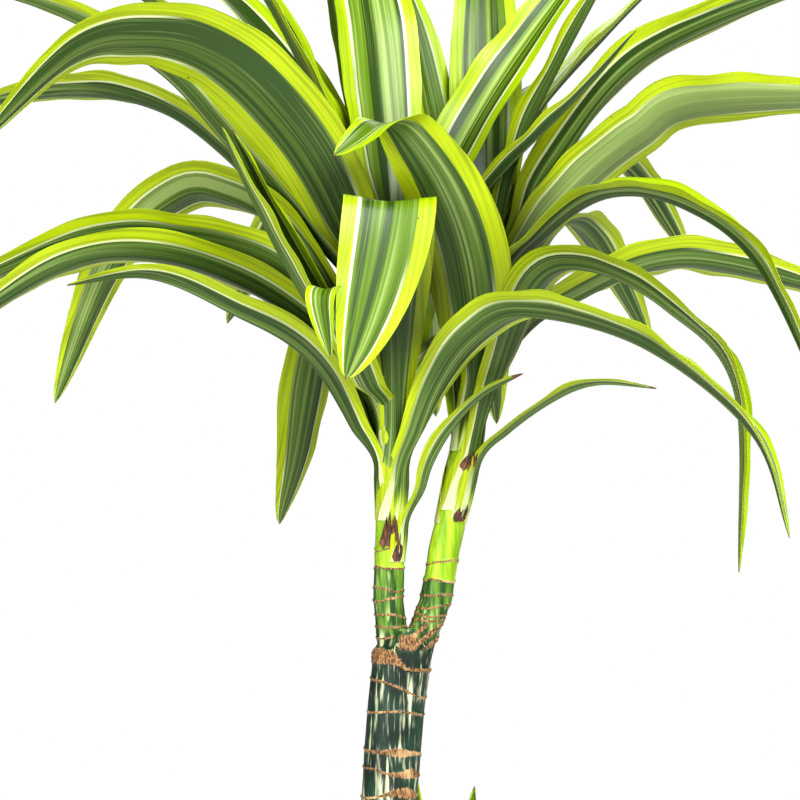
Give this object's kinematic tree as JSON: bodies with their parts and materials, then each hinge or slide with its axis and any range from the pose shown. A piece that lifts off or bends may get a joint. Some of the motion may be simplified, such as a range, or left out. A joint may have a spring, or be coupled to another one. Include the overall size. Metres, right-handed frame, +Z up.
{
  "type": "potted corn plant",
  "caption": "Tall potted house plant with striped, arching strap leaves in two crowns on a forked cane, in a plain tapered grow pot.",
  "frame": {"origin": "middle of the pot's flat underside, on the floor", "axes": "+Z up along the cane, +X to the right and +Y to the back as the picture shows the plant"},
  "size_m": [0.6047, 0.5303, 1.007],
  "materials": {
    "pot": "satin",
    "soil": "matte",
    "cane": "matte",
    "leaf": "satin"
  },
  "bodies": {
    "root": {"pot": "pot", "soil": "soil", "cane": "cane", "side_shoot": "cane", "left_leaf_01": "leaf", "left_leaf_02": "leaf", "left_leaf_03": "leaf", "left_leaf_04": "leaf", "left_leaf_05": "leaf", "left_leaf_06": "leaf", "left_leaf_07": "leaf", "left_leaf_08": "leaf", "left_leaf_09": "leaf", "left_leaf_10": "leaf", "left_leaf_11": "leaf", "left_leaf_12": "leaf", "left_leaf_13": "leaf", "left_leaf_14": "leaf", "left_leaf_15": "leaf", "left_leaf_16": "leaf", "left_leaf_17": "leaf", "left_leaf_18": "leaf", "left_leaf_19": "leaf", "left_leaf_20": "leaf", "left_leaf_21": "leaf", "left_leaf_22": "leaf", "left_leaf_23": "leaf", "left_leaf_24": "leaf", "left_leaf_25": "leaf", "left_leaf_26": "leaf", "right_leaf_01": "leaf", "right_leaf_02": "leaf", "right_leaf_03": "leaf", "right_leaf_04": "leaf", "right_leaf_05": "leaf", "right_leaf_06": "leaf", "right_leaf_07": "leaf", "right_leaf_08": "leaf", "right_leaf_09": "leaf", "right_leaf_10": "leaf", "right_leaf_11": "leaf", "right_leaf_12": "leaf", "right_leaf_13": "leaf", "right_leaf_14": "leaf", "right_leaf_15": "leaf", "right_leaf_16": "leaf", "side_leaf_01": "leaf", "side_leaf_02": "leaf", "side_leaf_03": "leaf", "side_leaf_04": "leaf", "side_leaf_05": "leaf"}
  },
  "joints": []
}
